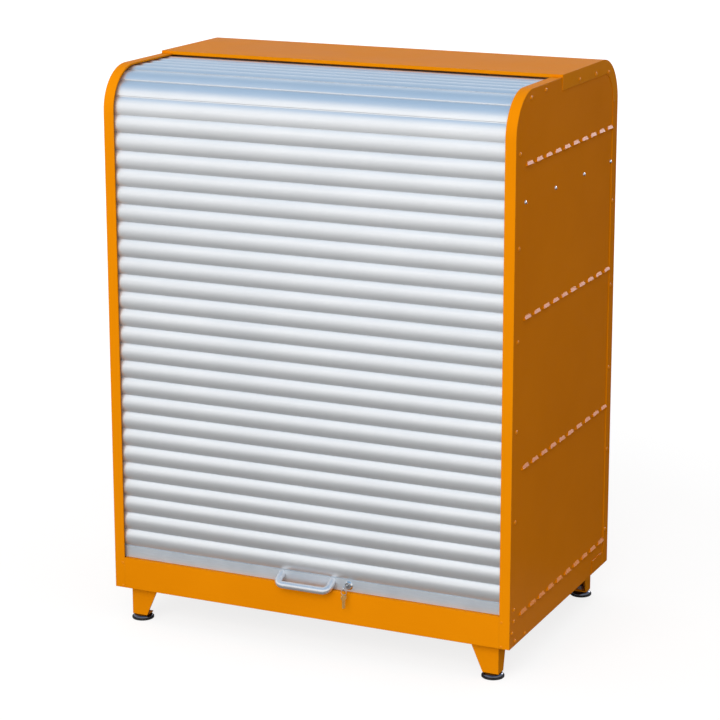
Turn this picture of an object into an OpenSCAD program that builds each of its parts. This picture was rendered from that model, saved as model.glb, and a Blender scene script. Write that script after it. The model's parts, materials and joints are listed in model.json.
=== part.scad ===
// Roll-front cabinet for hazardous materials: sheet steel body, slatted shutter, levelling feet.
// Millimetres, +Z up. The shutter faces -Y, and the floor is the plane z = 0.

/* [Body] */
// width over the side panels
body_w = 1000; // [800:10:1200]
// depth from the front frame to the back panel
body_d = 650; // [600:5:740]
// outer radius of the front and rear top corners
corner_r = 100; // [94:1:112]
// sheet thickness of the body panels
sheet_t = 1.5; // [1.2:0.1:2]
// height of the body above the floor
leg_clear = 82; // [76:1:95]
// height of the front plinth
plinth_h = 74; // [68:1:85]
// depth of the sill on top of the plinth
sill_d = 50; // [44:1:52]
// width of the front frame on each side
post_w = 25; // [22:1:32]
// depth of the frame flange that is riveted to the side panel
frame_flange = 40; // [34:1:44]

/* [Covers] */
// rise of the top cover above the front frame
cover_rise = 6; // [5:0.5:9]
// front lip of the top cover, behind the front frame
cover_y = 275; // [240:1:310]
// height of the folded front lip of the top cover
cover_lip = 8; // [7:0.5:9]
// depth of the cover flange that folds over each side panel
cover_flange = 35; // [28:1:42]
// width of the back panel flange that folds over each side panel
back_flange = 31; // [24:1:34]
// length of the tab at the foot of the back panel flange
tab_len = 109; // [80:1:130]
// height of the tab at the foot of the back panel flange
tab_h = 32; // [24:1:40]

/* [Louvres] */
// rows of louvres in each side panel
louvre_rows = 4; // [3:1:5]
// louvres in one row
louvre_count = 10; // [6:1:10]
// length of one louvre
louvre_len = 42; // [34:1:46]
// outward reach of one louvre
louvre_out = 5; // [4:0.5:9]
// height of one louvre
louvre_h = 9.5; // [8:0.5:14]
// slope of a louvre's front end along its top
louvre_slant = 16; // [8:0.5:20]
// slope of a louvre's front end along its lip
louvre_taper = 6; // [3:0.5:10]
// distance of the first louvre from the front frame
louvre_side = 54; // [50:1:60]
// distance of the first and last rows from the ends of the straight sides
louvre_end = 62; // [50:1:90]

/* [Shutter] */
// slats on the straight front
slat_count = 25; // [20:1:28]
// slat pitch
slat_pitch = 41; // [39:0.5:43]
// thickness of a slat in front of its knuckles
slat_front = 7.5; // [6.5:0.1:8]
// thickness of a slat behind its knuckles
slat_back = 2.5; // [2.2:0.1:2.8]
// front rise of a slat over its edges
slat_bulge = 5; // [4:0.1:5.5]
// wall of the slat and of the bottom rail
slat_wall = 1.2; // [1:0.1:1.4]
// radius of the bead on a slat's upper edge
bead_r = 2; // [1.8:0.1:2.1]
// play between a bead and its socket
bead_gap = 0.4; // [0.35:0.05:0.5]
// length of the tail that stays under the top cover
tail_len = 90; // [60:5:120]
// height of the bottom rail up to its knuckle
rail_h = 32; // [31:0.5:36]
// thickness of the rail's front plate
rail_t = 2.5; // [2:0.1:3]
// setback of the rail's face behind the front frame
rail_in = 9.5; // [9:0.5:10]
// height of the rubber seal under the rail
seal_h = 2.2; // [2:0.1:2.4]
// gap below the seal and beside the glides
run_gap = 0.3; // [0.2:0.05:0.4]

/* [Tracks] */
// depth of the slat path behind the front frame
path_in = 13; // [12.5:0.5:14]
// wall of the tracks
track_t = 2; // [1.5:0.1:2.2]
// inner width of the tracks behind the slat path
track_back = 7.5; // [7:0.5:9]
// clearance between the slat ends and the track webs
slat_end_gap = 2; // [1:0.5:4]
// height above the floor where the rear tracks end
track_rear_z = 300; // [250:10:400]

/* [Inside] */
// drop of the inner ceiling below the corner centres
ceiling_drop = 140; // [120:1:155]
// setback of the shelves and the ceiling behind the front frame
inner_y = 65; // [60:1:72]
// gap between the inner back and the rear tracks
inner_back_gap = 12; // [8:1:18]
// shelf sheet and inner sheet thickness
inner_t = 1.2; // [1:0.1:1.5]
// depth of the shelf flanges
shelf_flange = 25; // [20:1:30]
// width of the shelf uprights
upright_w = 25; // [20:1:30]
// depth of the shelf uprights
upright_d = 15; // [12:1:18]
// gap at each end of a shelf
shelf_gap = 4; // [3:0.5:6]
// length of a shelf clip under the shelf
clip_len = 12; // [10:1:14]
// height of the spill tray
tray_h = 55; // [45:1:57]
// gap around the spill tray
tray_gap = 5; // [3:1:10]

/* [Handle] */
// distance between the handle's feet
handle_cc = 128; // [100:1:130]
// handle bar diameter
bar_d = 17; // [14:0.5:17]
// reach of the bar in front of the rail
handle_reach = 28; // [26:0.5:32]
// drop of the bar below its feet
handle_drop = 15; // [10:0.5:16]
// bend radius of the bar
bar_bend = 15; // [14:0.5:16]
// handle screw diameter
screw_d = 4; // [3:0.5:4.5]
// length of the handle screws inside the handle
screw_in = 9; // [6:0.5:10]
// radial play of screws, stems and barrels in their holes
fit_gap = 0.05; // [0.03:0.01:0.08]

/* [Lock and keys] */
// distance of the lock from the middle of the shutter
lock_x = 105; // [100:1:150]
// lock barrel diameter
barrel_d = 16; // [15:0.5:16]
// diameter of the lock's front flange
lock_flange_d = 21; // [19:0.5:22]
// thickness of the lock's front flange
lock_flange_t = 4; // [3:0.5:4.5]
// length of the barrel behind the rail's face
barrel_len = 14; // [13.5:0.5:14.5]
// lock plug diameter
plug_d = 11; // [10:0.5:11]
// thickness of the cam
cam_t = 2.5; // [2:0.1:3]
// width of the cam arm
cam_w = 12; // [10:0.5:12]
// reach of the cam from the lock axis
cam_len = 26; // [25:0.5:27]
// overlap of the cam toe under the sill
cam_hook = 6; // [4:0.5:6.5]
// key thickness
key_t = 2; // [1.8:0.1:2.2]
// key bow radius
bow_r = 7.5; // [7:0.1:7.5]
// radius of the hole in the key bow
bow_hole_r = 2.5; // [2.2:0.1:2.7]
// width of the key blade
blade_w = 7; // [6:0.5:7]
// length of the spare key's blade
blade_len = 18; // [14:0.5:20]
// mean radius of the key ring
ring_r = 6.5; // [6:0.1:7]
// wire radius of the key ring
wire_r = 0.8; // [0.6:0.1:0.9]

/* [Feet] */
// inset of the legs from the side panels
leg_in_x = 33; // [28:1:40]
// inset of the legs from the front and the back
leg_in_y = 20; // [18:1:26]
// leg width at the top
leg_w_top = 69; // [60:1:80]
// leg width at the bottom
leg_w_low = 38; // [34:1:46]
// leg depth at the top
leg_d_top = 46; // [40:1:52]
// leg depth at the bottom
leg_d_low = 30; // [28:1:34]
// sheet thickness of the legs
leg_t = 2.5; // [2:0.1:3]
// foot plate diameter
foot_d = 52; // [46:1:56]
// height of the rubber rim under a foot
foot_rim = 4; // [3:0.5:5]
// height of the domed foot plate above its rim
foot_dome = 7.3; // [6:0.1:8]
// stem diameter of a foot
stem_d = 10; // [8:0.5:10]
// length of a foot's stem above its plate
stem_len = 46; // [40:1:48]
// height of the nut that carries the stem
nut_h = 8; // [6:0.5:9]

/* [Hidden] */

$fn = 48;
orange = [0.89, 0.54, 0.03];
silver = [0.80, 0.82, 0.85];
grey = [0.62, 0.64, 0.66];
chrome = [0.86, 0.87, 0.88];
black = [0.08, 0.08, 0.09];
brass = [0.72, 0.58, 0.30];

// the front frame's face, placed so that the part's box is centred on the origin
handle_out = handle_reach + bar_d / 2 - rail_in;
y_front = (handle_out - body_d) / 2;

// heights
zb = leg_clear;
z_sill = zb + plinth_h;
z_k0 = z_sill + rail_h;
z_k1 = z_k0 + slat_count * slat_pitch;
arc_lead = 4;
z_c = z_k1 + arc_lead;
z_top = z_c + corner_r;
z_cover = z_top + cover_rise;

// panel planes
x_out = body_w / 2;
x_skin = x_out - sheet_t;
x_frame = x_skin - sheet_t;
x_post = x_out - post_w;
skin_r = corner_r - sheet_t;
cover_r = corner_r + cover_rise;
y_arc = body_d - cover_r;
y_skin = y_arc + skin_r;
band_end = cover_y + 20;

// slat path and tracks
path_r = corner_r - path_in;
track_front = path_in - sheet_t - track_t;
x_web = x_frame - track_t;
slat_len = 2 * (x_web - slat_end_gap);
z_flat = z_c + path_r;
lead_r = sqrt(path_r * path_r + arc_lead * arc_lead);
bend_first = acos((lead_r * lead_r + path_r * path_r - slat_pitch * slat_pitch) / (2 * lead_r * path_r))
  - atan(arc_lead / path_r);
bend_step = 2 * asin(slat_pitch / (2 * path_r));
bend_n = floor((90 - bend_first) / bend_step);
k_bend = slat_count + 1 + bend_n;
k_flat = k_bend + 1;
bend_last = bend_first + bend_n * bend_step;
y_bend = corner_r - path_r * cos(bend_last);
z_bend = z_c + path_r * sin(bend_last);
y_flat = y_bend + sqrt(slat_pitch * slat_pitch - (z_flat - z_bend) * (z_flat - z_bend));
top_n = ceil((cover_y + tail_len - y_flat) / slat_pitch);
slat_edge = slat_front - slat_bulge;
slat_nose = 2;
slat_top = slat_pitch - 2 * slat_nose;
slat_span = slat_top + slat_nose;
slat_mid = (slat_top - slat_nose) / 2;
slat_r = (slat_span * slat_span / 4 + slat_bulge * slat_bulge) / (2 * slat_bulge);
socket_r = bead_r + bead_gap;
socket_wall = 0.8;
neck_t = 2;

// bottom rail
rail_v = path_in - rail_in;
rail_low = -rail_h + seal_h + run_gap;
skirt_low = -rail_h + 2 * run_gap;
rail_top = -socket_r - socket_wall - run_gap;
z_lock = z_sill + 15;
z_handle = z_sill + 18;
glide_t = 5;
rail_len = slat_len - 2 * glide_t + 2 * (slat_end_gap - run_gap);

// louvres
louvre_pitch = (body_d - back_flange - 3 - louvre_side - louvre_len) / (louvre_count - 1);
louvre_step = (z_c - zb - 2 * louvre_end) / (louvre_rows - 1);

// inside
y_inner_back = y_arc + path_r - track_back - track_t - inner_back_gap;
z_ceiling = z_c - ceiling_drop;
z_tray = zb + sheet_t;
y_tray = sill_d + tray_gap;
x_upright = x_skin - upright_d;
x_shelf = x_upright - shelf_gap;
z_upright = z_sill + 5;
upright_h = z_ceiling - shelf_flange - 10 - z_upright;
shelf_step = (z_ceiling - z_sill) / 4;
upright_y = [inner_y + 20, y_inner_back - upright_w - 20];

// handle
bar_len = sqrt(handle_reach * handle_reach + handle_drop * handle_drop);
bar_tilt = atan(handle_drop / handle_reach);

// lock and keys
y_barrel = rail_in + barrel_len;
nut_w = barrel_d + 6;
cam_gap = 0.5;
y_cam = y_barrel + cam_gap;
toe_r = z_lock - z_sill + sheet_t + 1;
toe_side = cam_w / 2 + cam_hook + 1;
slot_left = sqrt(cam_len * cam_len + toe_side * toe_side - (z_lock - z_sill) * (z_lock - z_sill)) + 1.5;
slot_right = cam_w / 2 + 1.5;
hole_y = rail_in - handle_reach + 1;
bow_off = 4.5;
bow_y = hole_y + bow_off;
seat = bow_hole_r - wire_r - fit_gap;
z_wire = z_lock - seat;
z_ring = z_wire - ring_r;
spare_twist = -30;
twist_gap = 0.65;
z_spare = z_ring - ring_r - seat + twist_gap;

// feet: name, side along x, side along y
corners = [["front_left", -1, -1], ["front_right", 1, -1], ["rear_left", -1, 1], ["rear_right", 1, 1]];
sides = [["left", -1], ["right", 1]];
z_leg = foot_rim + foot_dome + 0.7;
foot_flat = foot_d / 2 - 2 - foot_dome;
foot_x = x_out - leg_in_x - leg_w_low / 2;
foot_y = leg_in_y + leg_d_low / 2;

// a knuckle of the shutter as [y, z]; the slats run up, round the corner and back
function knuckle(k) =
  k <= slat_count ? [path_in, z_k0 + k * slat_pitch]
  : k <= k_bend ? on_bend(bend_first + (k - slat_count - 1) * bend_step)
  : [y_flat + (k - k_flat) * slat_pitch, z_flat];
function on_bend(a) = [corner_r - path_r * cos(a), z_c + path_r * sin(a)];

// moves the front frame's face to its place
module place() {
  translate([0, y_front, 0]) children();
}

// a drawn (y, z) outline, pulled out along x
module along_x(x, len) {
  translate([x, 0, 0]) rotate([90, 0, 90]) linear_extrude(height = len) children();
}

// the same piece on the left (-1) or the right (1)
module on_side(s) {
  mirror([s < 0 ? 1 : 0, 0, 0]) children();
}

// a quarter ring at the front (-1) or rear (1) top corner
module corner_ring(y, s, r_big, r_small) {
  translate([y, z_c]) intersection() {
    difference() {
      circle(r = r_big, $fn = 96);
      circle(r = r_small, $fn = 96);
    }
    translate([s < 0 ? -2 * r_big : 0, 0]) square(2 * r_big);
  }
}

// a strip that follows the front, the front corner and the top, between two depths
module front_strip(d0, d1, z0, y1) {
  translate([d0, z0]) square([d1 - d0, z_c - z0]);
  corner_ring(corner_r, -1, corner_r - d0, corner_r - d1);
  if (y1 > corner_r) translate([corner_r, z_top - d1]) square([y1 - corner_r, d1 - d0]);
}

// outline of a side panel
module skin_outline() {
  translate([sheet_t, zb]) square([y_skin - sheet_t, z_c - zb]);
  translate([corner_r, z_c]) square([y_arc - corner_r, skin_r]);
  intersection() {
    union() {
      translate([corner_r, z_c]) circle(r = skin_r, $fn = 96);
      translate([y_arc, z_c]) circle(r = skin_r, $fn = 96);
    }
    translate([0, z_c]) square([body_d, skin_r]);
  }
}

// a pressed louvre with a sloping top and a pointed front end
module louvre_form(out, len) {
  intersection() {
    translate([0, len, 0]) rotate([90, 0, 0]) linear_extrude(height = len)
      polygon([[0, 0], [out, 0], [out, sheet_t], [0, louvre_h]]);
    along_x(0, out) polygon([[0, 0], [louvre_slant, louvre_h], [len, louvre_h], [len, 0]]);
    linear_extrude(height = louvre_h) polygon([[0, 0], [out, louvre_taper], [out, len], [0, len]]);
  }
}

module louvre_places() {
  for (row = [0 : louvre_rows - 1])
    for (i = [0 : louvre_count - 1])
      translate([x_out, louvre_side + i * louvre_pitch, zb + louvre_end + row * louvre_step]) children();
}

module side_panel(s) {
  color(orange) place() on_side(s) difference() {
    union() {
      along_x(x_skin, sheet_t) skin_outline();
      louvre_places() translate([-sheet_t / 2, 0, 0]) louvre_form(louvre_out, louvre_len);
    }
    louvre_places() translate([-sheet_t - 0.5, sheet_t, -0.5])
      louvre_form(louvre_out - sheet_t / 2, louvre_len - 2 * sheet_t);
  }
}

module front_frame(s) {
  color(orange) place() on_side(s) {
    along_x(x_post, post_w) front_strip(0, sheet_t, zb, band_end);
    along_x(x_frame, sheet_t) front_strip(sheet_t, sheet_t + frame_flange, zb + sheet_t, band_end);
  }
}

// one wall of the front track, between two distances in front of the slat path
module track_strip(v0, v1) {
  front_strip(path_in - v1, path_in - v0, z_sill, corner_r);
}

module track_front_run(s) {
  color(orange) place() on_side(s) {
    along_x(x_post, x_frame - x_post) track_strip(track_front, track_front + track_t);
    along_x(x_post, x_frame - x_post) track_strip(-track_back - track_t, -track_back);
    along_x(x_web, track_t) track_strip(-track_back - track_t, track_front + track_t);
  }
}

module track_top_run(s) {
  len = y_arc - corner_r;
  color(orange) place() on_side(s) translate([0, corner_r, z_flat]) {
    translate([x_post, 0, track_front]) cube([x_frame - x_post, len, track_t]);
    translate([x_post, 0, -track_back - track_t]) cube([x_frame - x_post, len, track_t]);
    translate([x_web, 0, -track_back - track_t])
      cube([track_t, len, track_back + track_front + 2 * track_t]);
  }
}

// one wall of the rear track
module rear_strip(v0, v1) {
  corner_ring(y_arc, 1, path_r + v1, path_r + v0);
  translate([y_arc + path_r + v0, track_rear_z]) square([v1 - v0, z_c - track_rear_z]);
}

module track_rear_run(s) {
  color(grey) place() on_side(s) {
    along_x(x_post, x_skin - x_post) rear_strip(track_front, track_front + track_t);
    along_x(x_post, x_skin - x_post) rear_strip(-track_back - track_t, -track_back);
    along_x(x_web, x_skin - x_web) rear_strip(-track_back - track_t, track_front + track_t);
  }
}

// side view of the top cover's flange, which narrows to the back panel's flange round the corner
module cover_side() {
  difference() {
    union() {
      translate([cover_y, z_c]) square([y_arc - cover_y, cover_r]);
      corner_ring(y_arc, 1, cover_r, 1);
    }
    intersection() {
      union() {
        translate([cover_y - 1, z_c - 1]) square([y_arc - cover_y + 2, cover_r]);
        translate([y_arc, z_c]) circle(r = cover_r - back_flange, $fn = 96);
      }
      translate([cover_y - 1, z_c - 1]) square([body_d, cover_r - cover_flange + 1]);
    }
  }
}

module top_cover() {
  color(orange) place() {
    for (s = [-1, 1]) on_side(s) along_x(x_out, sheet_t) cover_side();
    along_x(-x_out, body_w) {
      translate([cover_y, z_cover - sheet_t]) square([y_arc - cover_y, sheet_t]);
      corner_ring(y_arc, 1, cover_r, cover_r - sheet_t);
    }
    translate([-x_out, cover_y, z_top]) cube([body_w, sheet_t, cover_rise]);
    translate([-x_post + 1, cover_y, z_cover - cover_lip])
      cube([2 * x_post - 2, sheet_t, cover_lip]);
  }
}

module back_panel() {
  color(orange) place() {
    translate([-x_out, body_d - sheet_t, zb]) cube([body_w, sheet_t, z_c - zb]);
    for (s = [-1, 1]) on_side(s) {
      translate([x_out, body_d - back_flange, zb + 2]) cube([sheet_t, back_flange, z_c - zb - 2]);
      translate([x_out, body_d - tab_len, zb + 2]) cube([sheet_t, tab_len, tab_h]);
    }
  }
}

module plinth_front() {
  color(orange) place() difference() {
    translate([-x_post, 0, zb]) {
      cube([2 * x_post, sheet_t, plinth_h]);
      translate([0, 0, plinth_h - sheet_t]) cube([2 * x_post, sill_d, sheet_t]);
      translate([0, sill_d - sheet_t, plinth_h - 15]) cube([2 * x_post, sheet_t, 15]);
    }
    translate([lock_x - slot_left, y_cam - 2, z_sill - sheet_t - 1])
      cube([slot_left + slot_right, cam_t + 4, sheet_t + 2]);
  }
}

module base_pan() {
  color(orange) place()
    translate([-x_skin, sheet_t, zb]) cube([2 * x_skin, body_d - 2 * sheet_t, sheet_t]);
}

module spill_tray() {
  w = 2 * (x_upright - tray_gap);
  d = y_inner_back - tray_gap - y_tray;
  color(grey) place() translate([-w / 2, y_tray, z_tray]) difference() {
    cube([w, d, tray_h]);
    translate([inner_t, inner_t, inner_t]) cube([w - 2 * inner_t, d - 2 * inner_t, tray_h]);
  }
}

module inner_back() {
  color(grey) place()
    translate([-x_skin, y_inner_back, z_tray]) cube([2 * x_skin, inner_t, z_ceiling - z_tray - inner_t]);
}

module inner_ceiling() {
  d = y_inner_back + inner_t - inner_y;
  color(grey) place() translate([-x_skin, inner_y, z_ceiling - inner_t]) {
    cube([2 * x_skin, d, inner_t]);
    translate([0, 0, -shelf_flange]) cube([2 * x_skin, inner_t, shelf_flange + inner_t]);
    for (x = [0, 2 * x_skin - inner_t])
      translate([x, 0, -shelf_flange]) cube([inner_t, d - inner_t, shelf_flange + inner_t]);
  }
}

module upright(s, y) {
  color(grey) place() on_side(s) translate([x_upright, y, z_upright]) {
    cube([inner_t, upright_w, upright_h]);
    cube([upright_d, inner_t, upright_h]);
    translate([0, upright_w - inner_t, 0]) cube([upright_d, inner_t, upright_h]);
  }
}

module shelf(i) {
  d = y_inner_back - shelf_gap - inner_y;
  color(grey) place() translate([-x_shelf, inner_y, z_sill + i * shelf_step]) difference() {
    translate([0, 0, -shelf_flange]) cube([2 * x_shelf, d, shelf_flange]);
    translate([inner_t, inner_t, -shelf_flange - 1])
      cube([2 * (x_shelf - inner_t), d - 2 * inner_t, shelf_flange - inner_t + 1]);
  }
}

module shelf_clips() {
  color(silver) place()
    for (i = [1 : 3]) for (s = [-1, 1]) for (y = upright_y)
      on_side(s) translate([x_shelf - clip_len, y + 4, z_sill + i * shelf_step - shelf_flange]) {
        translate([0, 0, -inner_t]) cube([clip_len + shelf_gap, upright_w - 8, inner_t]);
        translate([clip_len + shelf_gap - inner_t, 0, -inner_t - 14])
          cube([inner_t, upright_w - 8, 14]);
      }
}

module leg(c) {
  h = zb - z_leg;
  color(orange) place() translate([0, c[2] < 0 ? 0 : body_d, 0]) mirror([c[1] < 0 ? 1 : 0, 0, 0])
    mirror([0, c[2] < 0 ? 0 : 1, 0]) translate([x_out - leg_in_x, leg_in_y, z_leg]) difference() {
      union() {
        translate([0, leg_t, 0]) rotate([90, 0, 0]) linear_extrude(height = leg_t)
          polygon([[0, 0], [0, h], [-leg_w_top, h], [-leg_w_low, 0]]);
        along_x(-leg_t, leg_t) polygon([[0, 0], [0, h], [leg_d_top, h], [leg_d_low, 0]]);
        translate([-leg_w_low, 0, 0]) cube([leg_w_low, leg_d_low, leg_t]);
        translate([-leg_w_top, 0, h - leg_t]) cube([leg_w_top, leg_d_top, leg_t]);
      }
      translate([-leg_w_low / 2, leg_d_low / 2, -1]) cylinder(d = stem_d + 2 * fit_gap, h = leg_t + 2);
    }
}

// places a foot's own axis at one corner
module at_foot(c) {
  place() translate([c[1] * foot_x, c[2] < 0 ? foot_y : body_d - foot_y, 0]) children();
}

module leg_nuts() {
  color(grey) for (c = corners) at_foot(c) translate([0, 0, z_leg + leg_t]) difference() {
    cylinder(d = stem_d + 8, h = nut_h, $fn = 6);
    translate([0, 0, -1]) cylinder(d = stem_d + 2 * fit_gap, h = nut_h + 2);
  }
}

module foot_stem(c) {
  color(chrome) at_foot(c) translate([0, 0, foot_rim]) {
    rotate_extrude() {
      square([foot_flat, foot_dome]);
      translate([foot_flat, 0]) intersection() {
        circle(r = foot_dome, $fn = 96);
        square(foot_dome);
      }
    }
    cylinder(d = stem_d, h = foot_dome + stem_len);
  }
}

module foot_pad(c) {
  color(black) at_foot(c)
    rotate_extrude() polygon([[0, 0], [foot_d / 2 - 1, 0], [foot_d / 2, 1], [foot_d / 2, foot_rim],
      [0, foot_rim]]);
}

// cross-section of a slat: u from its lower knuckle upwards, v out to the front
module slat_section() {
  difference() {
    union() {
      intersection() {
        translate([slat_mid, slat_front - slat_r]) circle(r = slat_r, $fn = 180);
        union() {
          translate([0, -slat_back]) square([slat_top, slat_front + slat_back]);
          translate([-slat_nose, slat_edge - socket_wall]) square([slat_nose + 1, slat_bulge + socket_wall]);
        }
      }
      circle(r = socket_r + socket_wall);
    }
    circle(r = socket_r);
    polygon([[0, 0], 6 * [cos(146), sin(146)], 8 * [cos(193), sin(193)], 6 * [cos(241), sin(241)]]);
    intersection() {
      translate([slat_mid, slat_front - slat_r]) circle(r = slat_r - slat_wall, $fn = 180);
      translate([socket_r + 2, slat_wall - slat_back])
        square([slat_top - slat_wall - socket_r - 2, slat_front + slat_back]);
    }
  }
  knuckle_bead(slat_pitch, 4.5);
}

// the bead of a hinged edge on its neck
module knuckle_bead(u, neck) {
  translate([u - neck, -neck_t / 2]) square([neck, neck_t]);
  translate([u, 0]) circle(r = bead_r);
}

module slat(k) {
  a = knuckle(k);
  b = knuckle(k + 1);
  along_x(-slat_len / 2, slat_len) translate(a) rotate(atan2(b[1] - a[1], b[0] - a[0])) slat_section();
}

module slats(k0, k1) {
  color(silver) place() for (k = [k0 : k1]) slat(k);
}

// cross-section of the bottom rail, from its knuckle downwards
module rail_section() {
  translate([skirt_low, rail_v - rail_t]) square([rail_top - skirt_low, rail_t]);
  translate([rail_top - slat_wall, -neck_t / 2]) square([slat_wall, rail_v + neck_t / 2]);
  translate([rail_low, -slat_back]) square([slat_wall, rail_v + slat_back]);
  knuckle_bead(0, slat_wall - rail_top);
}

module bottom_rail() {
  color(silver) place() difference() {
    along_x(-rail_len / 2, rail_len) translate([path_in, z_k0]) rotate(90) rail_section();
    translate([lock_x, rail_in - 1, z_lock]) rotate([-90, 0, 0])
      cylinder(d = barrel_d + 2 * fit_gap, h = rail_t + 2);
    for (s = [-1, 1]) translate([s * handle_cc / 2, rail_in - 1, z_handle]) rotate([-90, 0, 0])
      cylinder(d = screw_d + 4 * fit_gap, h = rail_t + 2);
  }
}

module rail_seal() {
  color(black) place()
    translate([-rail_len / 2, rail_in + rail_t, z_sill + run_gap])
      cube([rail_len, rail_v + slat_back - rail_t, seal_h]);
}

module rail_glide(s) {
  color(black) place() on_side(s)
    translate([rail_len / 2, path_in - track_front + run_gap, z_sill + run_gap])
      cube([glide_t, track_front + track_back - 2 * run_gap, rail_h - 6]);
}

module handle() {
  half = handle_cc / 2;
  color(silver) place() difference() {
    translate([0, rail_in, z_handle]) rotate([bar_tilt, 0, 0]) {
      for (s = [-1, 1]) on_side(s) {
        translate([half, 8, 0]) rotate([90, 0, 0]) cylinder(d = bar_d, h = bar_len - bar_bend + 8);
        translate([half - bar_bend, bar_bend - bar_len, 0]) rotate([0, 0, -90])
          rotate_extrude(angle = 90) translate([bar_bend, 0]) circle(d = bar_d);
      }
      translate([bar_bend - half, -bar_len, 0]) rotate([0, 90, 0])
        cylinder(d = bar_d, h = handle_cc - 2 * bar_bend);
    }
    translate([-handle_cc, rail_in, z_handle - 50]) cube([2 * handle_cc, 50, 100]);
    for (s = [-1, 1]) translate([s * half, rail_in + 1, z_handle]) rotate([90, 0, 0])
      cylinder(d = screw_d + 2 * fit_gap, h = screw_in + 2);
  }
}

module handle_screws() {
  color(chrome) place() for (s = [-1, 1])
    translate([s * handle_cc / 2, rail_in + rail_t, z_handle]) {
      rotate([90, 0, 0]) cylinder(d = screw_d, h = rail_t + screw_in);
      rotate([-90, 0, 0]) cylinder(d = 2 * screw_d, h = 2.5);
    }
}

// puts a piece that is drawn along -y at the lock's axis and the rail's face
module at_lock() {
  place() translate([lock_x, rail_in, z_lock]) rotate([90, 0, 0]) children();
}

module lock_body() {
  color(chrome) at_lock() difference() {
    rotate_extrude() polygon([[0, -barrel_len], [barrel_d / 2, -barrel_len], [barrel_d / 2, 0],
      [lock_flange_d / 2, 0], [lock_flange_d / 2, lock_flange_t / 3],
      [lock_flange_d / 2 - 2.5, lock_flange_t], [0, lock_flange_t]]);
    translate([0, 0, -barrel_len - 1]) cylinder(d = plug_d + 2 * fit_gap, h = barrel_len + lock_flange_t + 2);
  }
}

module lock_nut() {
  color(grey) at_lock() translate([0, 0, -rail_t - 3.5]) difference() {
    rotate(30) cylinder(d = nut_w, h = 3.5, $fn = 6);
    translate([0, 0, -1]) cylinder(d = barrel_d + 2 * fit_gap, h = 6);
  }
}

module lock_plug() {
  color(chrome) at_lock() difference() {
    translate([0, 0, -barrel_len - cam_gap]) cylinder(d = plug_d, h = barrel_len + cam_gap + lock_flange_t + 0.5);
    translate([-key_t / 2 - fit_gap, -blade_w / 2 - fit_gap, lock_flange_t - 11])
      cube([key_t + 2 * fit_gap, blade_w + 2 * fit_gap, 12]);
    translate([0, 0, -barrel_len - 1]) cylinder(d = screw_d + 2 * fit_gap, h = 5);
  }
}

module lock_cam() {
  color(grey) at_lock() translate([0, 0, -barrel_len - cam_gap - cam_t]) difference() {
    union() {
      cylinder(d = plug_d + 4, h = cam_t);
      translate([-cam_len, -cam_w / 2, 0]) cube([cam_len, cam_w, cam_t]);
      translate([-cam_len, -toe_side, 0]) cube([cam_len - toe_r, toe_side, cam_t]);
    }
    translate([0, 0, -1]) cylinder(d = screw_d + 2 * fit_gap, h = cam_t + 2);
  }
}

module cam_screw() {
  color(chrome) at_lock() translate([0, 0, -barrel_len - cam_gap - cam_t]) {
    cylinder(d = screw_d, h = cam_t + 3);
    translate([0, 0, -2.5]) cylinder(d = 2 * screw_d, h = 2.5);
  }
}

// a flat key: bow with a hole bow_off from its middle, blade on the other side
module key_form(blade) {
  difference() {
    union() {
      cylinder(r = bow_r, h = key_t);
      translate([0, -blade_w / 2, 0]) cube([bow_r + blade, blade_w, key_t]);
    }
    translate([-bow_off, 0, -1]) cylinder(r = bow_hole_r, h = key_t + 2);
    for (i = [0 : 2]) translate([bow_r + blade - 3 - 4 * i, blade_w / 2, key_t / 2])
      rotate([0, 0, 45]) cube([2, 2, key_t + 2], center = true);
  }
}

module key() {
  color(chrome) place() translate([lock_x - key_t / 2, bow_y, z_lock]) rotate([90, 0, 90])
    key_form(rail_in - lock_flange_t + 10 - bow_y - bow_r);
}

module key_ring() {
  color(chrome) place() translate([lock_x, hole_y, z_ring]) rotate([90, 0, 0])
    rotate_extrude() translate([ring_r, 0]) circle(r = wire_r, $fn = 24);
}

module spare_key() {
  color(brass) place() translate([lock_x, hole_y, z_spare - bow_off]) rotate([0, 0, spare_twist])
    translate([-key_t / 2, 0, 0]) rotate([90, 0, 90]) rotate([0, 0, -90]) key_form(blade_len);
}

for (s = sides) {
  side_panel(s[1]);
  front_frame(s[1]);
  track_front_run(s[1]);
  track_top_run(s[1]);
  track_rear_run(s[1]);
  upright(s[1], upright_y[0]);
  upright(s[1], upright_y[1]);
  rail_glide(s[1]);
}
top_cover();
back_panel();
plinth_front();
base_pan();
spill_tray();
inner_back();
inner_ceiling();
shelf(1);  // shelf_low
shelf(2);  // shelf_mid
shelf(3);  // shelf_high
shelf_clips();
for (c = corners) {
  leg(c);
  foot_stem(c);
  foot_pad(c);
}
leg_nuts();
slats(0, slat_count - 1);  // shutter_front_slats
slats(slat_count, k_flat - 1);  // shutter_bend_slats
slats(k_flat, k_flat + top_n - 1);  // shutter_top_slats
bottom_rail();
rail_seal();
handle();
handle_screws();
lock_body();
lock_nut();
lock_plug();
lock_cam();
cam_screw();
key();
key_ring();
spare_key();
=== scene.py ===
import json
import math
import bmesh
import bpy
from mathutils import Matrix, Vector


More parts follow.
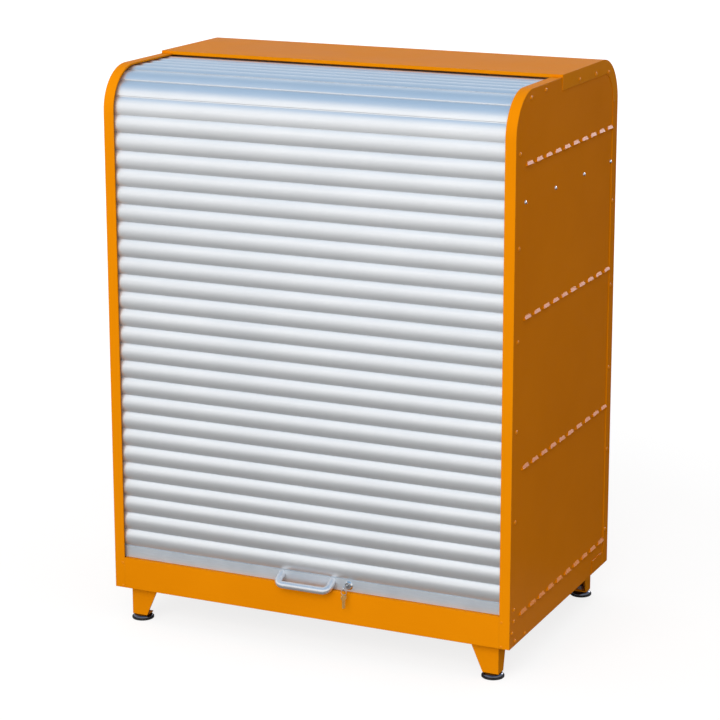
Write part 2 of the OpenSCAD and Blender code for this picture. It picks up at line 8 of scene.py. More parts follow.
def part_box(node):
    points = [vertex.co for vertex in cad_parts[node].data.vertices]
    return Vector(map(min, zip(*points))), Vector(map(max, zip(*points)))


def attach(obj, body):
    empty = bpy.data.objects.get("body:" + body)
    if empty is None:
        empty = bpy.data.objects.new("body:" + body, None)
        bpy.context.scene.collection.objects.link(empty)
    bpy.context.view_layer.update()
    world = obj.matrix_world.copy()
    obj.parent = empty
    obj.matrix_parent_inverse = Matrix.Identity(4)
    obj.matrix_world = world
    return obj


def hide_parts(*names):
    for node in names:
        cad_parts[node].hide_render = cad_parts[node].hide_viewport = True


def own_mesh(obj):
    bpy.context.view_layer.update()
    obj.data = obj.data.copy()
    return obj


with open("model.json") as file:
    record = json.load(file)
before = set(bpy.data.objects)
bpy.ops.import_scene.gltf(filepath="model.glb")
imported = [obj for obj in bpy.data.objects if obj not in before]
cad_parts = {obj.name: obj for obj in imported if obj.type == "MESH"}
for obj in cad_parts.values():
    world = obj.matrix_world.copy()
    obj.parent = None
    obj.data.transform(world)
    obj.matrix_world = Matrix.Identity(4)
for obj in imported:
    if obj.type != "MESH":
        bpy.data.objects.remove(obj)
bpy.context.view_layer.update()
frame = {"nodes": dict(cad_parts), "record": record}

nodes = frame["nodes"]
scene = bpy.context.scene
mm = 0.001
weldGap = 1e-7  # points closer than this are one

# the CAD frame: y runs back from the front face, z up from the bottom of the body
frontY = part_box("front_frame_right")[0].y
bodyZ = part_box("side_panel_right")[0].z
sideX = 0.5
print("frame loaded:", len(nodes), "CAD nodes")


# small helpers for meshes
def place(y, z, x=0.0):
    return Vector((x, frontY + y * mm, bodyZ + z * mm))


def makePiece(name, bm, finish, body, sharpAngle=32):
    bmesh.ops.remove_doubles(bm, verts=bm.verts, dist=weldGap)
    bmesh.ops.recalc_face_normals(bm, faces=bm.faces)
    for face in bm.faces:
        face.smooth = True
    for edge in bm.edges:
        flatEnough = len(edge.link_faces) == 2 and edge.calc_face_angle(0) < math.radians(sharpAngle)
        edge.smooth = flatEnough
    mesh = bpy.data.meshes.new(name)
    bm.to_mesh(mesh)
    bm.free()
    piece = bpy.data.objects.new(name, mesh)
    scene.collection.objects.link(piece)
    mesh.materials.append(finish)
    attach(piece, body)
    return piece


def lathe(bm, profile, spot, steps=20):
    # profile is a list of (radius, height) from the middle of the top, over the rim, to the middle below
    rings = []
    for radius, height in profile:
        if radius < weldGap:
            rings.append([bm.verts.new(spot @ Vector((0, 0, height)))])
            continue
        ring = []
        for i in range(steps):
            turn = 2 * math.pi * i / steps
            point = Vector((radius * math.cos(turn), radius * math.sin(turn), height))
            ring.append(bm.verts.new(spot @ point))
        rings.append(ring)
    for upper, lower in zip(rings, rings[1:]):
        for i in range(steps):
            j = (i + 1) % steps
            if len(upper) == 1:
                bm.faces.new((upper[0], lower[i], lower[j]))
            elif len(lower) == 1:
                bm.faces.new((upper[i], lower[0], upper[j]))
            else:
                bm.faces.new((upper[i], lower[i], lower[j], upper[j]))


def facing(point, direction):
    # a place at point whose own z looks along direction
    turned = Vector(direction).to_track_quat("Z", "Y").to_matrix()
    return Matrix.Translation(point) @ turned.to_4x4()


# small helpers for materials
edgeMask = {"samples": 4, "full": 0.8, "none": 0.995}
# the pale lilac on the louvre tops is a painted highlight: a reflection of the sky painted as colour
ledgeSheenMask = {"spotScale": 45, "spotLeast": 0.7, "rise": 0.6 * mm, "height": (0.0, 1.0),
             "outward": (0.5, 0.7), "upward": (0.35, 0.48)}


class Nodes:
    def __init__(self, name):
        self.material = bpy.data.materials.new(name)
        self.material.use_nodes = True
        self.tree = self.material.node_tree
        self.shader = self.tree.nodes["Principled BSDF"]
        self.objectSpace = self.add("ShaderNodeTexCoord").outputs["Object"]

    def add(self, kind, **settings):
        node = self.tree.nodes.new(kind)
        for key, value in settings.items():
            setattr(node, key, value)
        return node

    def link(self, source, target):
        self.tree.links.new(source, target)

    def noise(self, scale, detail=3.0, rough=0.55, stretch=(1, 1, 1)):
        mapping = self.add("ShaderNodeMapping")
        mapping.inputs["Scale"].default_value = stretch
        self.link(self.objectSpace, mapping.inputs["Vector"])
        noise = self.add("ShaderNodeTexNoise")
        noise.inputs["Scale"].default_value = scale
        noise.inputs["Detail"].default_value = detail
        noise.inputs["Roughness"].default_value = rough
        self.link(mapping.outputs["Vector"], noise.inputs["Vector"])
        return noise.outputs["Fac"]

    def spread(self, value, low, high, fromLow=0.3, fromHigh=0.7):
        ranger = self.add("ShaderNodeMapRange")
        ranger.inputs["From Min"].default_value = fromLow
        ranger.inputs["From Max"].default_value = fromHigh
        ranger.inputs["To Min"].default_value = low
        ranger.inputs["To Max"].default_value = high
        self.link(value, ranger.inputs["Value"])
        return ranger.outputs["Result"]

    def blend(self, factor, first, second):
        mixer = self.add("ShaderNodeMix", data_type="RGBA")
        self.link(factor, mixer.inputs[0])
        for socket, colour in ((mixer.inputs[6], first), (mixer.inputs[7], second)):
            if isinstance(colour, bpy.types.NodeSocket):
                self.link(colour, socket)
            else:
                socket.default_value = (*colour, 1)
        return mixer.outputs[2]

    def edges(self, radius):
        # near 1 on folded and cut edges, with the rounded normal that goes with them
        bevel = self.add("ShaderNodeBevel", samples=edgeMask["samples"])
        bevel.inputs["Radius"].default_value = radius
        plain = self.add("ShaderNodeNewGeometry")
        dot = self.add("ShaderNodeVectorMath", operation="DOT_PRODUCT")
        self.link(bevel.outputs["Normal"], dot.inputs[0])
        self.link(plain.outputs["Normal"], dot.inputs[1])
        mask = self.spread(dot.outputs["Value"], 1.0, 0.0, edgeMask["full"], edgeMask["none"])
        return mask, bevel.outputs["Normal"]

    def paintedLedgeSheen(self, outFrom, most):
        # high on slopes that look up and outwards, further out than outFrom, and fading towards the floor:
        # the mask of a painted highlight, a pale reflection of the sky laid as colour on the louvre tops
        outward = self.add("ShaderNodeSeparateXYZ")
        self.link(self.objectSpace, outward.inputs[0])
        slope = self.add("ShaderNodeSeparateXYZ")
        self.link(self.add("ShaderNodeNewGeometry").outputs["Normal"], slope.inputs[0])
        spots = self.noise(ledgeSheenMask["spotScale"], detail=4)
        mask = self.spread(spots, ledgeSheenMask["spotLeast"] * most, most)
        for value, (low, high) in ((outward.outputs["X"], (outFrom, outFrom + ledgeSheenMask["rise"])),
                                   (outward.outputs["Z"], ledgeSheenMask["height"]),
                                   (slope.outputs["X"], ledgeSheenMask["outward"]),
                                   (slope.outputs["Z"], ledgeSheenMask["upward"])):
            size = self.add("ShaderNodeMath", operation="ABSOLUTE")
            self.link(value, size.inputs[0])
            both = self.add("ShaderNodeMath", operation="MULTIPLY")
            self.link(mask, both.inputs[0])
            self.link(self.spread(size.outputs[0], 0.0, 1.0, low, high), both.inputs[1])
            mask = both.outputs[0]
        return mask

    def bump(self, height, strength, distance, normal=None):
        bump = self.add("ShaderNodeBump")
        bump.inputs["Strength"].default_value = strength
        bump.inputs["Distance"].default_value = distance
        self.link(height, bump.inputs["Height"])
        if normal is not None:
            self.link(normal, bump.inputs["Normal"])
        self.link(bump.outputs["Normal"], self.shader.inputs["Normal"])


coatForm = {"fleckFrom": 0.55, "fleckTo": 0.8, "wearAndHighlightFrom": 0.42, "wearAndHighlightTo": 0.62,
            "smoother": 0.05, "rougher": 0.06}


def powderCoat(name, look):
    made = Nodes(name)
    cloud = made.noise(look["cloudScale"], detail=4)
    grain = made.noise(look["grainScale"], detail=2)
    edge, rounded = made.edges(look["edgeRadius"])
    colour = made.blend(made.spread(cloud, 0, 1), look["dark"], look["light"])
    flecked = made.spread(grain, 0, look["fleck"], coatForm["fleckFrom"], coatForm["fleckTo"])
    fleck = made.blend(flecked, colour, look["fleckColour"])
    # the lighter edge colour is partly rubbed wear and partly a painted highlight along the folded and cut
    # edges
    wearAndHighlightSpots = made.noise(look["wearAndHighlightScale"], detail=5)
    wearAndHighlightSpots = made.spread(wearAndHighlightSpots, 0, look["wearAndHighlight"], coatForm["wearAndHighlightFrom"], coatForm["wearAndHighlightTo"])
    wornAndHighlitEdges = made.add("ShaderNodeMath", operation="MULTIPLY")
    made.link(edge, wornAndHighlitEdges.inputs[0])
    made.link(wearAndHighlightSpots, wornAndHighlitEdges.inputs[1])
    coat = made.blend(wornAndHighlitEdges.outputs[0], fleck, look["edgeColour"])
    # painted highlight: a pale reflection painted into the colour of the louvre tops
    if "ledgeSheenColour" in look:
        coat = made.blend(made.paintedLedgeSheen(look["ledgeSheenFrom"], look["ledgeSheen"]), coat, look["ledgeSheenColour"])
    made.link(coat, made.shader.inputs["Base Color"])
    rough = made.spread(cloud, look["rough"] - coatForm["smoother"], look["rough"] + coatForm["rougher"])
    made.link(rough, made.shader.inputs["Roughness"])
    made.shader.inputs["Specular IOR Level"].default_value = look["specular"]
    made.bump(grain, look["peel"], look["peelDepth"], rounded)
    return made.material


metalForm = {"toneFrom": 0.25, "toneTo": 0.75, "streakRough": 0.6}


def drawnMetal(name, look):
    made = Nodes(name)
    streak = made.noise(look["streakScale"], rough=metalForm["streakRough"], stretch=look["stretch"])
    cloud = made.noise(look["cloudScale"], detail=4)
    edge, rounded = made.edges(look["edgeRadius"])
    tone = made.spread(cloud, 0, 1, metalForm["toneFrom"], metalForm["toneTo"])
    toned = made.blend(tone, look["dark"], look["light"])
    streaky = made.blend(made.spread(streak, 0, look["streak"]), toned, look["streakColour"])
    shiny = made.blend(made.spread(edge, 0, look["edgeShine"], 0, 1), streaky, look["edgeColour"])
    made.link(shiny, made.shader.inputs["Base Color"])
    rough = made.spread(streak, look["rough"] - look["roughPlay"], look["rough"] + look["roughPlay"])
    made.link(rough, made.shader.inputs["Roughness"])
    made.shader.inputs["Metallic"].default_value = look["metallic"]
    made.bump(streak, look["drawStrength"], look["drawDepth"], rounded)
    return made.material


def mouldedBlack(name, look):
    made = Nodes(name)
    speck = made.noise(look["grainScale"])
    cloud = made.noise(look["cloudScale"])
    colour = made.blend(made.spread(cloud, 0, 1), look["dark"], look["light"])
    made.link(colour, made.shader.inputs["Base Color"])
    rough = made.spread(speck, look["rough"] - look["roughPlay"], look["rough"] + look["roughPlay"])
    made.link(rough, made.shader.inputs["Roughness"])
    made.bump(speck, look["grain"], look["grainDepth"])
    return made.material


# finishes: one for each material slot of the record, and two more for the outer sheets and the rivets
# the lighter edgeColour is rubbed wear and a painted highlight on the edges
orangeLook = {"dark": (0.71, 0.221, 0.0008), "light": (0.77, 0.245, 0.0012), "cloudScale": 3.0,
              "grainScale": 900, "fleck": 0.12, "fleckColour": (0.62, 0.17, 0.001), "edgeRadius": 1.6 * mm,
              "wearAndHighlightScale": 26, "wearAndHighlight": 0.35, "edgeColour": (0.86, 0.40, 0.06), "rough": 0.42,
              "specular": 0.015, "peel": 0.22, "peelDepth": 0.12 * mm}
# the outer sheets carry a painted highlight: the pale lilac colour on their louvre tops stands for a
# reflection
sideLook = dict(orangeLook, dark=(0.72, 0.205, 0.0006), light=(0.78, 0.228, 0.001), rough=0.18,
                specular=0.045, edgeRadius=0.5 * mm, ledgeSheenFrom=sideX + 0.6 * mm, ledgeSheen=0.45,
                ledgeSheenColour=(0.52, 0.275, 0.38))
rivetLook = dict(orangeLook, rough=0.34, specular=0.25, peel=0.1, edgeRadius=0.4 * mm)
greyLook = {"dark": (0.50, 0.51, 0.51), "light": (0.56, 0.57, 0.57), "cloudScale": 4.0,
            "grainScale": 800, "fleck": 0.15, "fleckColour": (0.40, 0.41, 0.42), "edgeRadius": 1.2 * mm,
            "wearAndHighlightScale": 30, "wearAndHighlight": 0.4, "edgeColour": (0.66, 0.66, 0.66), "rough": 0.46,
            "specular": 0.5, "peel": 0.25, "peelDepth": 0.12 * mm}
slatLook = {"dark": (0.83, 0.855, 0.885), "light": (0.89, 0.91, 0.935), "cloudScale": 5.0,
            "streakScale": 260, "stretch": (0.02, 1, 1), "streak": 0.14, "streakColour": (0.77, 0.795, 0.83),
            "edgeRadius": 0.5 * mm, "edgeShine": 0.2, "edgeColour": (0.88, 0.89, 0.90),
            "rough": 0.41, "roughPlay": 0.05, "metallic": 0.85, "drawStrength": 0.10, "drawDepth": 0.05 * mm}
railLook = {"dark": (0.66, 0.74, 0.82), "light": (0.79, 0.87, 0.95), "cloudScale": 16.0,
            "streakScale": 420, "stretch": (0.05, 1, 1), "streak": 0.25, "streakColour": (0.60, 0.615, 0.64),
            "edgeRadius": 0.8 * mm, "edgeShine": 0.35, "edgeColour": (0.74, 0.75, 0.77),
            "rough": 0.48, "roughPlay": 0.08, "metallic": 0.75, "drawStrength": 0.12, "drawDepth": 0.05 * mm}
trackLook = dict(railLook, stretch=(1, 1, 0.05), cloudScale=8.0)
handleLook = {"dark": (0.74, 0.755, 0.79), "light": (0.83, 0.84, 0.87), "cloudScale": 40.0,
              "streakScale": 900, "stretch": (0.1, 1, 1), "streak": 0.2, "streakColour": (0.70, 0.715, 0.75),
              "edgeRadius": 0.6 * mm, "edgeShine": 0.2, "edgeColour": (0.85, 0.86, 0.88), "metallic": 0.85,
              "rough": 0.36, "roughPlay": 0.06, "drawStrength": 0.08, "drawDepth": 0.03 * mm}
zincLook = {"dark": (0.52, 0.54, 0.55), "light": (0.66, 0.67, 0.66), "cloudScale": 60.0,
            "streakScale": 300, "stretch": (1, 1, 1), "streak": 0.3, "streakColour": (0.50, 0.53, 0.58),
            "edgeRadius": 0.5 * mm, "edgeShine": 0.4, "edgeColour": (0.78, 0.79, 0.80),
            "rough": 0.38, "roughPlay": 0.09, "metallic": 0.95, "drawStrength": 0.10, "drawDepth": 0.04 * mm}
chromeLook = {"dark": (0.70, 0.71, 0.73), "light": (0.80, 0.81, 0.82), "cloudScale": 50.0,
              "streakScale": 220, "stretch": (1, 1, 1), "streak": 0.15, "streakColour": (0.62, 0.63, 0.65),
              "edgeRadius": 0.4 * mm, "edgeShine": 0.3, "edgeColour": (0.88, 0.89, 0.90),
              "rough": 0.14, "roughPlay": 0.05, "metallic": 1.0, "drawStrength": 0.04, "drawDepth": 0.02 * mm}
# the feet's chrome is painted dark, darker than chrome is: a painted reflection of dark surroundings
paintedDarkFootLook = dict(chromeLook, dark=(0.09, 0.093, 0.118), light=(0.16, 0.165, 0.20), rough=0.10,
                streakColour=(0.05, 0.052, 0.065), edgeColour=(0.55, 0.56, 0.60))
brassLook = {"dark": (0.66, 0.48, 0.15), "light": (0.88, 0.68, 0.28), "cloudScale": 120.0,
             "streakScale": 900, "stretch": (1, 1, 0.4), "streak": 0.12, "streakColour": (0.52, 0.36, 0.12),
             "edgeRadius": 0.3 * mm, "edgeShine": 0.5, "edgeColour": (0.86, 0.72, 0.40),
             "rough": 0.36, "roughPlay": 0.07, "metallic": 0.7, "drawStrength": 0.08, "drawDepth": 0.03 * mm}
rubberLook = {"dark": (0.012, 0.012, 0.013), "light": (0.03, 0.03, 0.031), "cloudScale": 60,
              "grainScale": 1500, "rough": 0.72, "roughPlay": 0.08, "grain": 0.3, "grainDepth": 0.08 * mm}
plasticLook = {"dark": (0.015, 0.015, 0.017), "light": (0.028, 0.028, 0.03), "cloudScale": 40,
               "grainScale": 1100, "rough": 0.5, "roughPlay": 0.08, "grain": 0.2, "grainDepth": 0.06 * mm}

finishes = {
    "body_paint": powderCoat("orangePowderCoat", orangeLook),
    "inner_paint": powderCoat("greyPowderCoat", greyLook),
    "slat_aluminium": drawnMetal("satinSlatSilver", slatLook),
    "rail_aluminium": drawnMetal("millRailAluminium", railLook),
    "track_aluminium": drawnMetal("drawnTrackAluminium", trackLook),
    "handle_aluminium": drawnMetal("satinHandleAluminium", handleLook),
    "zinc_steel": drawnMetal("brightZinc", zincLook),
    "foot_chrome": drawnMetal("footChromeDarkReflection", paintedDarkFootLook),
    "lock_chrome": drawnMetal("lockChrome", chromeLook),
    "key_brass": drawnMetal("keyBrass", brassLook),
    "black_rubber": mouldedBlack("blackRubber", rubberLook),
    "black_plastic": mouldedBlack("blackPlastic", plasticLook),
}
sidePaint = powderCoat("louvredSidePaint", sideLook)
rivetPaint = powderCoat("rivetPaint", rivetLook)
for subpart in frame["record"]["subparts"]:
    cadMesh = nodes[subpart["node"]].data
    cadMesh.materials.clear()
    outerSheet = subpart["node"].startswith(("side_panel", "back_panel"))
    cadMesh.materials.append(sidePaint if outerSheet else finishes[subpart["material_slot"]])


# the shutter's slats: one rolled section along the knuckles of the front, the bend and the top
# sizes in millimetres, turns in degrees; packed is the share of their height that the lifted slats keep
slatForm = {"pitch": 41.0, "front": 7.5, "back": 2.5, "bulge": 5.0, "nose": 2.0, "neck": 2.0, "length": 986.0,
            "beadRadius": 2.0, "socketRadius": 2.4, "socketWall": 0.8,
            "socketBack": 309, "lipBack": 241, "lipFront": 146, "socketFront": 128,
            "arcSteps": 14, "beadSteps": 12, "socketSteps": 14, "backSteps": 4, "frontSteps": 2}
shutterPath = {"firstZ": 188.0, "inset": 13.0, "frontSlats": 25, "bendRadius": 87.0, "arcLead": 4.0,
               "packed": 0.0032}


def arcPoints(cu, cv, radius, startDegrees, endDegrees, steps):
    points = []
    for i in range(steps + 1):
        turn = math.radians(startDegrees + (endDegrees - startDegrees) * i / steps)
        points.append((cu + radius * math.cos(turn), cv + radius * math.sin(turn)))
    return points


def slatOutline(form):
    top = form["pitch"] - 2 * form["nose"]
    halfSpan = (top + form["nose"]) / 2
    middle = (top - form["nose"]) / 2
    radius = (halfSpan ** 2 + form["bulge"] ** 2) / (2 * form["bulge"])
    half = math.degrees(math.asin(halfSpan / radius))
    lip = form["front"] - form["bulge"]
    neck = form["neck"] / 2
    beadEnd = 180 - math.degrees(math.asin(neck / form["beadRadius"]))
    outer = form["socketRadius"] + form["socketWall"]
    points = arcPoints(middle, form["front"] - radius, radius, 90 + half, 90 - half, form["arcSteps"])
    points += [(top, neck)]
    points += arcPoints(form["pitch"], 0, form["beadRadius"], beadEnd, -beadEnd, form["beadSteps"])
    points += [(top, -neck), (top, -form["back"]), (outer, -form["back"])]
    points += arcPoints(0, 0, outer, form["socketBack"], form["lipBack"], form["backSteps"])
    inFront = form["lipFront"] + 360
    points += arcPoints(0, 0, form["socketRadius"], form["lipBack"], inFront, form["socketSteps"])
    points += arcPoints(0, 0, outer, form["lipFront"], form["socketFront"], form["frontSteps"])
    return points + [(-form["nose"], lip - form["socketWall"])]


def addSlat(bm, outline, low, high):
    # low and high are the knuckles as (y, z) in metres
    along = Vector((high[0] - low[0], high[1] - low[1])).normalized()
    out = Vector((-along[1], along[0]))
    ends = []
    for end in (-1, 1):
        ring = []
        for u, v in outline:
            spot = Vector(low) + along * u * mm + out * v * mm
            ring.append(bm.verts.new((end * slatForm["length"] / 2 * mm, spot[0], spot[1])))
        ends.append(ring)
    count = len(outline)
    for i in range(count):
        j = (i + 1) % count
        bm.faces.new((ends[0][i], ends[0][j], ends[1][j], ends[1][i]))
    bm.faces.new(ends[0])
    bm.faces.new(list(reversed(ends[1])))


def bendKnuckles(form, path):
    # the knuckles round the top corner as (y, z) in metres, from the last one of the straight front
    radius, pitch = path["bendRadius"], form["pitch"]
    startZ = path["firstZ"] + path["frontSlats"] * pitch
    centreY, centreZ = path["inset"] + radius, startZ + path["arcLead"]
    lead = math.hypot(radius, path["arcLead"])
    chord = math.acos((lead ** 2 + radius ** 2 - pitch ** 2) / (2 * lead * radius))
    turn = chord - math.atan(path["arcLead"] / radius)
    points = [(path["inset"], startZ)]
    while turn <= math.pi / 2:
        points.append((centreY - radius * math.cos(turn), centreZ + radius * math.sin(turn)))
        turn += 2 * math.asin(pitch / (2 * radius))
    flatZ = centreZ + radius
    points.append((points[-1][0] + math.sqrt(pitch ** 2 - (flatZ - points[-1][1]) ** 2), flatZ))
    return [(frontY + y * mm, z * mm) for y, z in points]


outline = slatOutline(slatForm)
slatPitch = slatForm["pitch"] * mm
slatSilver = finishes["slat_aluminium"]
slatY = frontY + shutterPath["inset"] * mm
frontSlats = bmesh.new()
for k in range(shutterPath["frontSlats"]):
    lowZ = (shutterPath["firstZ"] + k * slatForm["pitch"]) * mm
    addSlat(frontSlats, outline, (slatY, lowZ), (slatY, lowZ + slatPitch))
shutterSlats = makePiece("shutterSlats", frontSlats, slatSilver, "cabinet")
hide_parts("shutter_front_slats")
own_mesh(shutterSlats)
corner = bendKnuckles(slatForm, shutterPath)
bend = bmesh.new()
for low, high in zip(corner, corner[1:]):
    addSlat(bend, outline, low, high)
bendSlats = makePiece("bendSlats", bend, slatSilver, "cabinet")
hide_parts("shutter_bend_slats")
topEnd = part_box("shutter_top_slats")[1].y
topY, topZ = corner[-1]
topCount = int((topEnd - topY) / slatPitch)
top = bmesh.new()
for k in range(topCount):
    lowY = topY + k * slatPitch
    addSlat(top, outline, (lowY, topZ), (lowY + slatPitch, topZ))
topSlats = makePiece("topSlats", top, slatSilver, "cabinet")
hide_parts("shutter_top_slats")
bendCount = len(corner) - 1
print("shutter slats:", shutterPath["frontSlats"], "in front,", bendCount, "in the bend,", topCount, "on top")

# rivets with painted domes: along the folded edges of both sides, on the cover, the posts and the back
# their places are (y, z) in millimetres, on the posts (x, z)
rivetForm = {"radius": 4.8 * mm, "height": 3.0 * mm, "seat": 0.3 * mm, "steps": 18}
postForm = dict(rivetForm, radius=3.4 * mm, height=0.9 * mm)
sideRivets = [(24, 59), (24, 86), (24, 289), (24, 494), (24, 695), (24, 900), (24, 1104),
              (84, 1216), (172, 1221), (14.5, 35), (33, 10), (95, 7.5)]
flangeRivets = [(626, 90), (626, 292), (626, 495), (626, 697), (626, 900)]
coverRivets = [(382, 1217), (492, 1215), (580, 1209)]
postRivets = [(480, 62), (480, 4.5)]
backRivets = {"column": 484, "first": 40, "step": 129, "count": 8, "row": 14, "rowStep": 161, "rowCount": 5}


def dome(form, steps=5):
    points = []
    for i in range(steps + 1):
        turn = math.pi / 2 * i / steps
        points.append((form["radius"] * math.sin(turn), form["height"] * math.cos(turn)))
    return points + [(form["radius"], -form["seat"]), (0, -form["seat"])]


def addRivet(point, direction, form):
    lathe(rivets, dome(form), facing(point, direction), form["steps"])


rivets = bmesh.new()
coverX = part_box("top_cover")[1].x
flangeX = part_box("back_panel")[1].x
backY = (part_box("back_panel")[1].y - frontY) / mm
for side in (-1, 1):
    for sheetX, spots in ((sideX, sideRivets), (flangeX, flangeRivets), (coverX, coverRivets)):
        for y, z in spots:
            addRivet(place(y, z, side * sheetX), (side, 0, 0), rivetForm)
    for x, z in postRivets:
        addRivet(place(0, z, side * x * mm), (0, -1, 0), postForm)
    for k in range(backRivets["count"]):
        z = backRivets["first"] + k * backRivets["step"]
        addRivet(place(backY, z, side * backRivets["column"] * mm), (0, 1, 0), rivetForm)
for k in range(backRivets["rowCount"]):
    x = (k - (backRivets["rowCount"] - 1) / 2) * backRivets["rowStep"] * mm
    addRivet(place(backY, backRivets["row"], x), (0, 1, 0), rivetForm)
makePiece("bodyRivets", rivets, rivetPaint, "cabinet", sharpAngle=60)
eachSide = len(sideRivets + flangeRivets + coverRivets + postRivets) + backRivets["count"]
print("rivets:", 2 * eachSide + backRivets["rowCount"])

# a rolled hem along the front edge of the back panel's flanges
hemForm = {"y": 617.2, "low": 3, "high": 1100, "sink": 0.1,
           "section": [(0, 0), (1.6, 0.1), (2.3, 0.6), (2.6, 1.5), (2.3, 2.6), (1.6, 3.2), (0, 3.4)]}
hems = bmesh.new()
for side in (-1, 1):
    rings = []
    for z in (hemForm["low"], hemForm["high"]):
        ring = []
        for out, along in hemForm["section"]:
            x = side * (sideX + (out - hemForm["sink"]) * mm)
            ring.append(hems.verts.new(place(hemForm["y"] + along, z, x)))
        rings.append(ring)
    for i in range(len(rings[0])):
        j = (i + 1) % len(rings[0])
        hems.faces.new((rings[0][i], rings[0][j], rings[1][j], rings[1][i]))
    hems.faces.new(rings[0])
    hems.faces.new(list(reversed(rings[1])))
makePiece("flangeHems", hems, finishes["body_paint"], "cabinet", sharpAngle=50)
print("hems on both flanges of the back panel")

# bright socket screws that hold the inner ceiling
screwForm = {"radius": 4.6 * mm, "height": 2.8 * mm, "seat": 0.3 * mm, "steps": 24,
             "socket": 1.9 * mm, "socketDepth": 1.6 * mm, "narrowing": 0.9, "chamfer": 0.15 * mm}
ceilingScrews = [(59, 995), (244, 995), (429, 995), (612, 995)]


def socketHead(form):
    high, socket, chamfer = form["height"], form["socket"], form["chamfer"]
    bottom = high - form["socketDepth"]
    inner = [(0, bottom), (socket * form["narrowing"], bottom)]
    inner += [(socket, high - chamfer), (socket + chamfer, high)]
    outer = [(r, h) for r, h in dome(form) if r > socket + 2 * chamfer]
    return inner + outer + [(0, -form["seat"])]


screws = bmesh.new()
for side in (-1, 1):
    for y, z in ceilingScrews:
        spot = facing(place(y, z, side * sideX), (side, 0, 0))
        lathe(screws, socketHead(screwForm), spot, screwForm["steps"])
makePiece("ceilingScrews", screws, finishes["lock_chrome"], "cabinet", sharpAngle=60)
print("ceiling screws:", 2 * len(ceilingScrews))

# camera at the photograph's standpoint
shot = {"place": (2.2974, -4.9814, 2.0503), "yaw": 0.4269, "pitch": 0.2349, "lens": 120.54,
        "shiftX": -0.020, "shiftY": -0.070, "sensor": 36, "reach": 200}
camera = bpy.data.objects.new("shotCamera", bpy.data.cameras.new("shotCamera"))
scene.collection.objects.link(camera)
camera.location = shot["place"]
camera.rotation_euler = (math.pi / 2 - shot["pitch"], 0, shot["yaw"])
camera.data.sensor_width = shot["sensor"]
camera.data.lens = shot["lens"]
camera.data.shift_x = shot["shiftX"]
camera.data.shift_y = shot["shiftY"]
camera.data.clip_end = shot["reach"]
scene.camera = camera

# soft studio light from a wide front panel
panel = {"place": (0.2, -5.2, 2.5), "aim": (0, 0, 0.65), "size": 5.0, "power": 255,
         "colour": (1, 0.985, 0.96)}
light = bpy.data.lights.new("frontPanel", "AREA")
light.size = panel["size"]
light.energy = panel["power"]
light.color = panel["colour"]
lamp = bpy.data.objects.new("frontPanel", light)
scene.collection.objects.link(lamp)
lamp.location = panel["place"]
aim = Vector(panel["aim"]) - Vector(panel["place"])
lamp.rotation_euler = aim.to_track_quat("-Z", "Y").to_euler()
lamp.visible_glossy = False  # the surround below is what the metal mirrors

# a white surround: plain for the camera; the metal mirrors a bright front, a pale blue back, a deeper
# blue overhead and one soft box behind on the right
ambient = {"low": 0.44, "high": 0.83, "seen": 1.0, "eyeLevel": (1, 1, 1),
           "front": 1.05, "frontTo": -0.3, "behind": 0.9, "behindFrom": 0.4,
           "rearTint": (0.76, 0.87, 1.0), "tintFrom": 0.1, "tintTo": 0.6,
           "overhead": (0.22, 0.42, 0.66), "blueFrom": 0.50, "blueTo": 0.82, "blueBehind": 0.1,
           "softBox": (0.22, 0.93, 0.30), "boxInner": 0.990, "boxOuter": 0.945, "boxLevel": 6.5}
world = bpy.data.worlds.new("surround")
scene.world = world
world.use_nodes = True
tree = world.node_tree
background = tree.nodes["Background"]
rays = tree.nodes.new("ShaderNodeLightPath")
direction = tree.nodes.new("ShaderNodeSeparateXYZ")
compass = tree.nodes.new("ShaderNodeTexCoord")
tree.links.new(compass.outputs["Generated"], direction.inputs[0])


def ranged(value, low, high, fromLow=0.0, fromHigh=1.0):
    ranger = tree.nodes.new("ShaderNodeMapRange")
    ranger.inputs["From Min"].default_value = fromLow
    ranger.inputs["From Max"].default_value = fromHigh
    for socket, end in ((ranger.inputs["To Min"], low), (ranger.inputs["To Max"], high)):
        if isinstance(end, bpy.types.NodeSocket):
            tree.links.new(end, socket)
        else:
            socket.default_value = end
    tree.links.new(value, ranger.inputs["Value"])
    return ranger.outputs["Result"]


def tinted(factor, first, second):
    mixer = tree.nodes.new("ShaderNodeMix")
    mixer.data_type = "RGBA"
    tree.links.new(factor, mixer.inputs[0])
    for socket, colour in ((mixer.inputs[6], first), (mixer.inputs[7], second)):
        if isinstance(colour, bpy.types.NodeSocket):
            tree.links.new(colour, socket)
        else:
            socket.default_value = (*colour, 1)
    return mixer.outputs[2]


higher = tree.nodes.new("ShaderNodeMath")  # the blue comes lower down behind the object
higher.operation = "MULTIPLY_ADD"
higher.inputs[1].default_value = ambient["blueBehind"]
rearward = ranged(direction.outputs["Y"], 0.0, 1.0)
tree.links.new(rearward, higher.inputs[0])
tree.links.new(direction.outputs["Z"], higher.inputs[2])
towardBox = tree.nodes.new("ShaderNodeVectorMath")
towardBox.operation = "DOT_PRODUCT"
towardBox.inputs[1].default_value = Vector(ambient["softBox"]).normalized()
tree.links.new(compass.outputs["Generated"], towardBox.inputs[0])
inBox = ranged(towardBox.outputs["Value"], 0.0, 1.0, ambient["boxOuter"], ambient["boxInner"])
rearShare = ranged(rearward, 0.0, 1.0, ambient["tintFrom"], ambient["tintTo"])
sky = tinted(rearShare, ambient["eyeLevel"], ambient["rearTint"])
blueShare = ranged(higher.outputs[0], 0.0, 1.0, ambient["blueFrom"], ambient["blueTo"])
sky = tinted(blueShare, sky, ambient["overhead"])
sky = tinted(inBox, sky, ambient["eyeLevel"])
sky = tinted(rays.outputs["Is Glossy Ray"], ambient["eyeLevel"], sky)
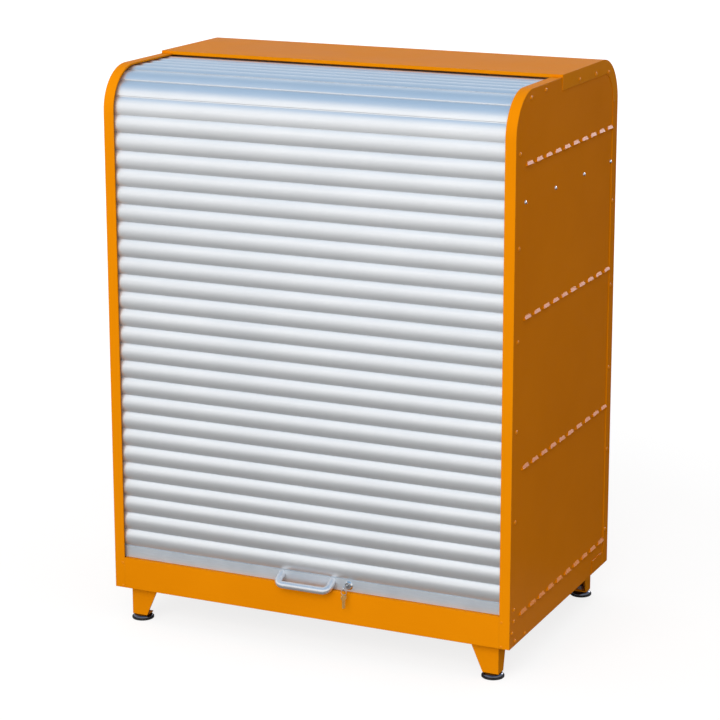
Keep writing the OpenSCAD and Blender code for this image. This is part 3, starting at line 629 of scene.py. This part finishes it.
tree.links.new(sky, background.inputs["Color"])
mirrored = ranged(direction.outputs["Y"], ambient["front"], ambient["behind"],
                  ambient["frontTo"], ambient["behindFrom"])
mirrored = ranged(inBox, mirrored, ambient["boxLevel"])
lighting = ranged(direction.outputs["Z"], ambient["low"], ambient["high"])
level = ranged(rays.outputs["Is Glossy Ray"], lighting, mirrored)
level = ranged(rays.outputs["Is Transmission Ray"], level, ambient["seen"])
level = ranged(rays.outputs["Is Camera Ray"], level, ambient["seen"])
tree.links.new(level, background.inputs["Strength"])

# pale floor that keeps the shadow and fades into the white surround
floorForm = {"reach": 14.0, "steps": 96, "below": 0.5 * mm, "grey": 0.23, "rough": 0.9, "specular": 0.1,
             "lift": 0.80, "fadeFrom": 1.2, "fadeTo": 4.5,
             "mirroredGrey": 0.03, "darkFrom": 0.0, "darkTo": 0.5,
             "mirroredLift": 0.38, "mirrorFrom": -0.7, "mirrorTo": -2.8}
floorMesh = bmesh.new()
bmesh.ops.create_circle(floorMesh, cap_ends=True, segments=floorForm["steps"], radius=floorForm["reach"])
floorData = bpy.data.meshes.new("studioFloor")
floorMesh.to_mesh(floorData)
floorMesh.free()
floor = bpy.data.objects.new("studioFloor", floorData)
scene.collection.objects.link(floor)
floor.location.z = -floorForm["below"]
pale = Nodes("paleFloor")
pale.shader.inputs["Roughness"].default_value = floorForm["rough"]
pale.shader.inputs["Specular IOR Level"].default_value = floorForm["specular"]
pale.shader.inputs["Emission Color"].default_value = (1, 1, 1, 1)
reach = pale.add("ShaderNodeVectorMath", operation="LENGTH")
pale.link(pale.objectSpace, reach.inputs[0])
lift = pale.spread(reach.outputs["Value"], floorForm["lift"], 1.0, floorForm["fadeFrom"], floorForm["fadeTo"])
floorRays = pale.add("ShaderNodeLightPath")
depth = pale.add("ShaderNodeSeparateXYZ")
pale.link(pale.objectSpace, depth.inputs[0])


def floorShare(value, rayKind):
    share = pale.add("ShaderNodeMath", operation="MULTIPLY")
    pale.link(value, share.inputs[0])
    pale.link(floorRays.outputs[rayKind], share.inputs[1])
    return share.outputs[0]


# mirrored in the object, the floor is pale far in front and dark behind
ahead = pale.spread(depth.outputs["Y"], floorForm["mirroredLift"], 0.0,
                    floorForm["mirrorTo"], floorForm["mirrorFrom"])
glow = pale.add("ShaderNodeMath", operation="ADD")
pale.link(floorShare(lift, "Is Camera Ray"), glow.inputs[0])
pale.link(floorShare(ahead, "Is Glossy Ray"), glow.inputs[1])
pale.link(glow.outputs[0], pale.shader.inputs["Emission Strength"])
rear = pale.spread(depth.outputs["Y"], 0.0, 1.0, floorForm["darkFrom"], floorForm["darkTo"])
plainGrey = (floorForm["grey"],) * 3
darkGrey = (floorForm["mirroredGrey"],) * 3
grey = pale.blend(floorShare(rear, "Is Glossy Ray"), plainGrey, darkGrey)
pale.link(grey, pale.shader.inputs["Base Color"])
floorData.materials.append(pale.material)

scene.view_settings.view_transform = "Standard"
print("camera, light and floor set")
